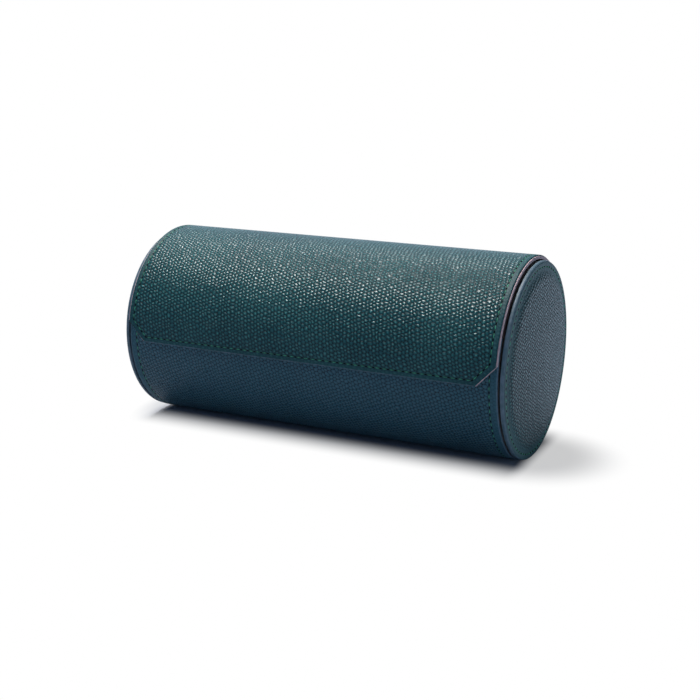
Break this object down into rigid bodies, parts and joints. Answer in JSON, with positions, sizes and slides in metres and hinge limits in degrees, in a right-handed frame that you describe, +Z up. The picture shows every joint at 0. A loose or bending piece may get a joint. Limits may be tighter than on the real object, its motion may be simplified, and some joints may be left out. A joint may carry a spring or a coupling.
{
  "type": "watch travel case",
  "caption": "Cylindrical leather watch roll lying on its side, with a curved lid hinged at the back, padded round ends, suede-lined bays and lift-out cushions.",
  "frame": {"origin": "centre of the bottom flat, which is the bottom centre of the closed case's box", "axes": "+X along the case to its right end, -Y to the front where the lid's edge is, +Z up"},
  "size_m": [0.201, 0.0968, 0.094],
  "materials": {
    "grained_leather": "satin",
    "cap_leather": "satin",
    "suede_lining": "matte",
    "cushion_suede": "matte",
    "foam": "matte",
    "board": "matte",
    "magnets": "satin"
  },
  "bodies": {
    "case": {"body_leather": "grained_leather", "body_board": "board", "body_lining": "suede_lining", "body_magnets": "magnets", "end_board_left": "board", "end_board_right": "board", "end_suede_left": "suede_lining", "end_suede_right": "suede_lining", "end_spacer_left": "board", "end_spacer_right": "board", "cap_board_left": "board", "cap_board_right": "board", "cap_foam_left": "foam", "cap_foam_right": "foam", "cap_leather_left": "cap_leather", "cap_leather_right": "cap_leather", "divider_board_left": "board", "divider_board_right": "board", "divider_suede_left": "suede_lining", "divider_suede_right": "suede_lining", "back_panel_leather": "grained_leather", "back_panel_board": "board"},
    "lid": {"lid_leather": "grained_leather", "lid_board": "board", "lid_lining": "suede_lining", "lid_magnets": "magnets"},
    "cushion_left": {"cushion_foam_left": "foam", "cushion_cover_left": "cushion_suede", "cushion_ends_left": "cushion_suede"},
    "cushion_middle": {"cushion_foam_middle": "foam", "cushion_cover_middle": "cushion_suede", "cushion_ends_middle": "cushion_suede"},
    "cushion_right": {"cushion_foam_right": "foam", "cushion_cover_right": "cushion_suede", "cushion_ends_right": "cushion_suede"}
  },
  "joints": [
    {"name": "lid_hinge", "type": "hinge", "parent": "case", "child": "lid", "pos_m": [0, 0.04274, 0.06832], "axis": [-1, 0, 0], "range_deg": [0, 150]},
    {"name": "cushion_left_lift", "type": "slide", "parent": "case", "child": "cushion_left", "axis": [0, 0, 1], "range_m": [0, 0.064]},
    {"name": "cushion_middle_lift", "type": "slide", "parent": "case", "child": "cushion_middle", "axis": [0, 0, 1], "range_m": [0, 0.064]},
    {"name": "cushion_right_lift", "type": "slide", "parent": "case", "child": "cushion_right", "axis": [0, 0, 1], "range_m": [0, 0.064]}
  ],
  "couplings": [
    {"joint": "cushion_left_lift", "follows": "lid_hinge", "m_per_rad": 0.0244},
    {"joint": "cushion_middle_lift", "follows": "lid_hinge", "m_per_rad": 0.0244},
    {"joint": "cushion_right_lift", "follows": "lid_hinge", "m_per_rad": 0.0244}
  ]
}
